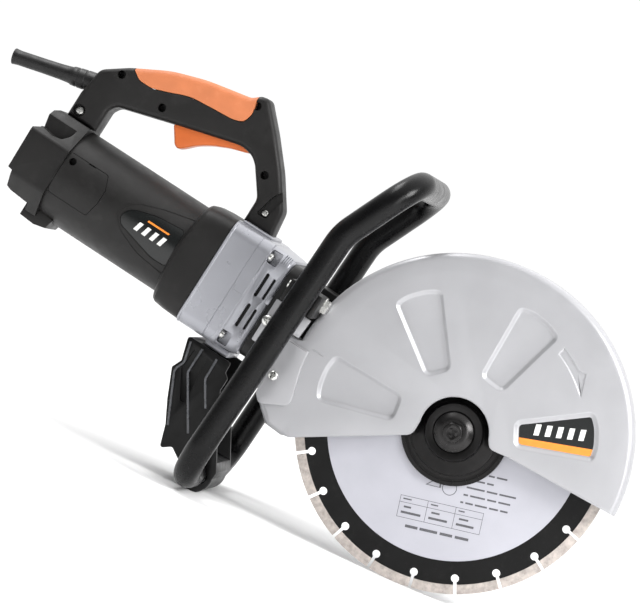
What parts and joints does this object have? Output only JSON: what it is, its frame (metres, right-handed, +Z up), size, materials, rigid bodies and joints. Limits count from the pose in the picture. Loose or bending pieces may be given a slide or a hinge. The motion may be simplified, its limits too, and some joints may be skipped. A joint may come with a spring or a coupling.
{
  "type": "concrete cut-off saw",
  "caption": "Electric handheld disc cutter: a motor and gear train turn a slotted diamond blade under a pressed guard, held by a D handle with a trigger and a tube hoop.",
  "frame": {"origin": "middle of the bounding box in plan, on the floor the blade and the stand foot rest on", "axes": "+X towards the blade, +Y to the right side away from the guard face, +Z up; the motor axis points forward and 9.5 degrees down"},
  "size_m": [0.7128, 0.2274, 0.3723],
  "materials": {
    "black_casting": "semi-matte black paint on a cast aluminium body",
    "black_plastic": "matte, fine moulded grain",
    "black_tube": "black powder coat, satin",
    "blade_steel": "brushed, satin",
    "carbon": "pressed carbon, matte",
    "copper": null,
    "gunmetal": "turned steel with black oxide",
    "lamination": "varnished steel laminations",
    "orange_rubber": "matte soft-touch overmould",
    "rubber": "matte black rubber",
    "silver_paint": "satin silver paint",
    "steel": "machined",
    "zinc": "bright zinc plating"
  },
  "bodies": {
    "tool_body": {"bracket_bolt": "zinc", "brush_cover_left": "black_plastic", "brush_cover_right": "black_plastic", "brush_holder_left": "copper", "brush_holder_right": "copper", "carbon_brush_left": "carbon", "carbon_brush_right": "carbon", "clamp_bolt_left": "zinc", "clamp_bolt_right": "zinc", "cord_guard": "rubber", "drive_bearing_front": "steel", "drive_bearing_rear": "steel", "field_coil_bottom": "copper", "field_coil_top": "copper", "foot_pad": "rubber", "gear_case": "black_casting", "gear_case_cover": "black_casting", "gear_housing": "silver_paint", "grip_pad": "orange_rubber", "guard_bracket": "silver_paint", "guard_neck_plate": "silver_paint", "guard_screw": "zinc", "guard_shell": "silver_paint", "handle_screw": "zinc", "handle_shell_left": "black_plastic", "handle_shell_right": "black_plastic", "hoop_clamp_left": "black_casting", "hoop_clamp_right": "black_casting", "hoop_handle": "black_tube", "housing_screw_1": "zinc", "housing_screw_2": "zinc", "housing_screw_3": "zinc", "housing_screw_4": "zinc", "motor_badge": "black_plastic", "motor_bearing_front": "steel", "motor_bearing_rear": "steel", "motor_housing": "black_plastic", "rear_cover": "black_plastic", "spindle_bearing_inner": "steel", "spindle_bearing_outer": "steel", "stand_bracket": "black_plastic", "stator_core": "lamination", "switch_module": "black_plastic"},
    "armature": {"armature_shaft": "steel", "armature_core": "lamination", "commutator": "copper", "cooling_fan": "black_plastic"},
    "drive_shaft": {"pinion_shaft": "steel", "drive_gear": "steel"},
    "blade_set": {"spindle": "steel", "bevel_wheel": "steel", "inner_flange": "gunmetal", "blade": "blade_steel", "outer_flange": "gunmetal", "blade_washer": "gunmetal", "blade_bolt": "gunmetal"},
    "trigger": {"trigger": "orange_rubber"},
    "lock_off": {"lock_off_button": "orange_rubber"},
    "spindle_lock": {"spindle_lock_button": "orange_rubber"}
  },
  "joints": [
    {"name": "blade_spin", "type": "hinge", "parent": "tool_body", "child": "blade_set", "pos_m": [0.18895, 0, 0.1525], "axis": [0, 1, 0], "continuous": true},
    {"name": "drive_spin", "type": "hinge", "parent": "tool_body", "child": "drive_shaft", "pos_m": [0.07059, 0.02475, 0.17231], "axis": [0.9863, 0, -0.165], "continuous": true},
    {"name": "armature_spin", "type": "hinge", "parent": "tool_body", "child": "armature", "pos_m": [-0.13653, 0, 0.20697], "axis": [0.9863, 0, -0.165], "continuous": true},
    {"name": "trigger_pull", "type": "hinge", "parent": "tool_body", "child": "trigger", "pos_m": [-0.10431, 0, 0.32071], "axis": [0, 1, 0], "range_deg": [0, 8], "stiffness_Nm_per_rad": 1.5, "springref_deg": -5.73},
    {"name": "lock_off_press", "type": "slide", "parent": "tool_body", "child": "lock_off", "axis": [0, -1, 0], "range_m": [0, 0.004], "stiffness_N_per_m": 400, "springref_m": -0.002},
    {"name": "spindle_lock_press", "type": "slide", "parent": "tool_body", "child": "spindle_lock", "axis": [-0.165, 0, -0.9863], "range_m": [0, 0.004], "stiffness_N_per_m": 600, "springref_m": -0.002}
  ],
  "couplings": [
    {"joint": "drive_spin", "follows": "blade_spin", "ratio": -1.9167},
    {"joint": "armature_spin", "follows": "blade_spin", "ratio": 4.4083}
  ]
}
